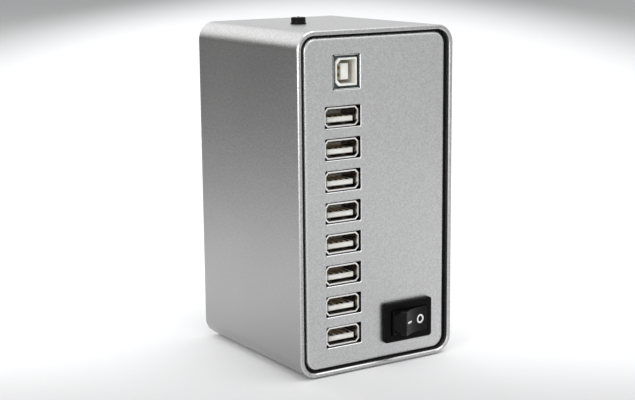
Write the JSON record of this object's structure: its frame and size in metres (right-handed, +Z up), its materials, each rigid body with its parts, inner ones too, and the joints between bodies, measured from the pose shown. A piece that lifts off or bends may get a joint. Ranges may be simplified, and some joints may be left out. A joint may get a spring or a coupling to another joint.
{
  "type": "usb hub",
  "caption": "Upright aluminium USB hub with a column of type-A ports on each face, a type-B inlet, a rocker power switch, a DC inlet behind and a lamp on top.",
  "frame": {"origin": "middle of the underside of the anti-slip pad that the hub stands on", "axes": "+X to the right seen from the front, +Y towards the back, +Z up; the front panel faces -Y"},
  "size_m": [0.067, 0.0773, 0.1273],
  "materials": {
    "sleeve_aluminium": "bead-blasted, silver anodised",
    "panel_aluminium": "bead-blasted, silver anodised, polished edge",
    "black_plastic": "fine moulded texture",
    "pad_rubber": "matt anti-slip",
    "switch_plastic": "satin black",
    "plated_steel": "zinc plated",
    "nickel_shell": "nickel plated sheet steel",
    "white_plastic": "moulded nylon",
    "gold_contact": "gold flashed",
    "circuit_board": "solder mask",
    "chip_plastic": "moulded epoxy",
    "capacitor_can": "sleeved can",
    "ribbon_plastic": "grey ribbon",
    "wire_plastic": "insulated wire",
    "lamp_lens": "smoked epoxy"
  },
  "bodies": {
    "housing": {"case_sleeve": "sleeve_aluminium", "base_pad": "pad_rubber", "front_panel": "panel_aluminium", "rear_panel": "panel_aluminium", "front_carrier": "black_plastic", "rear_carrier": "black_plastic", "carrier_screws": "plated_steel", "rear_panel_screws": "plated_steel", "board_screws": "plated_steel", "usb_b_shell": "nickel_shell", "usb_b_insulator": "white_plastic", "usb_b_contacts": "gold_contact", "switch_body": "switch_plastic", "switch_terminals": "gold_contact", "dc_jack_body": "switch_plastic", "dc_jack_pin": "gold_contact", "dc_jack_contact": "gold_contact", "lamp_holder": "black_plastic", "lamp_lens": "lamp_lens", "lamp_wires": "wire_plastic", "front_board": "circuit_board", "rear_board": "circuit_board", "hub_chips": "chip_plastic", "clock_crystals": "nickel_shell", "port_capacitors": "capacitor_can", "bulk_capacitor": "capacitor_can", "link_headers": "black_plastic", "link_cable": "ribbon_plastic", "usb_a_insulators_rear": "white_plastic", "usb_a_contacts_front": "gold_contact", "usb_a_contacts_rear": "gold_contact", "usb_a_shell_front_1": "nickel_shell", "usb_a_insulator_front_1": "white_plastic", "usb_a_shell_rear_1": "nickel_shell", "usb_a_shell_front_2": "nickel_shell", "usb_a_insulator_front_2": "white_plastic", "usb_a_shell_rear_2": "nickel_shell", "usb_a_shell_front_3": "nickel_shell", "usb_a_insulator_front_3": "white_plastic", "usb_a_shell_rear_3": "nickel_shell", "usb_a_shell_front_4": "nickel_shell", "usb_a_insulator_front_4": "white_plastic", "usb_a_shell_rear_4": "nickel_shell", "usb_a_shell_front_5": "nickel_shell", "usb_a_insulator_front_5": "white_plastic", "usb_a_shell_rear_5": "nickel_shell", "usb_a_shell_front_6": "nickel_shell", "usb_a_insulator_front_6": "white_plastic", "usb_a_shell_rear_6": "nickel_shell", "usb_a_shell_front_7": "nickel_shell", "usb_a_insulator_front_7": "white_plastic", "usb_a_shell_rear_7": "nickel_shell", "usb_a_shell_front_8": "nickel_shell", "usb_a_insulator_front_8": "white_plastic", "usb_a_shell_rear_8": "nickel_shell"},
    "rocker": {"rocker": "switch_plastic", "rocker_plunger": "white_plastic", "rocker_spring": "plated_steel"},
    "contact_blade": {"switch_contact_blade": "gold_contact"}
  },
  "joints": [
    {"name": "rocker_turn", "type": "hinge", "parent": "housing", "child": "rocker", "pos_m": [0.013, -0.0337, 0.016], "axis": [0, 0, 1], "range_deg": [-35, 0]},
    {"name": "contact_blade_turn", "type": "hinge", "parent": "housing", "child": "contact_blade", "pos_m": [0.013, -0.0252, 0.016], "axis": [0, 0, 1], "range_deg": [0, 16]}
  ],
  "couplings": [
    {"joint": "contact_blade_turn", "follows": "rocker_turn", "ratio": -0.457}
  ]
}
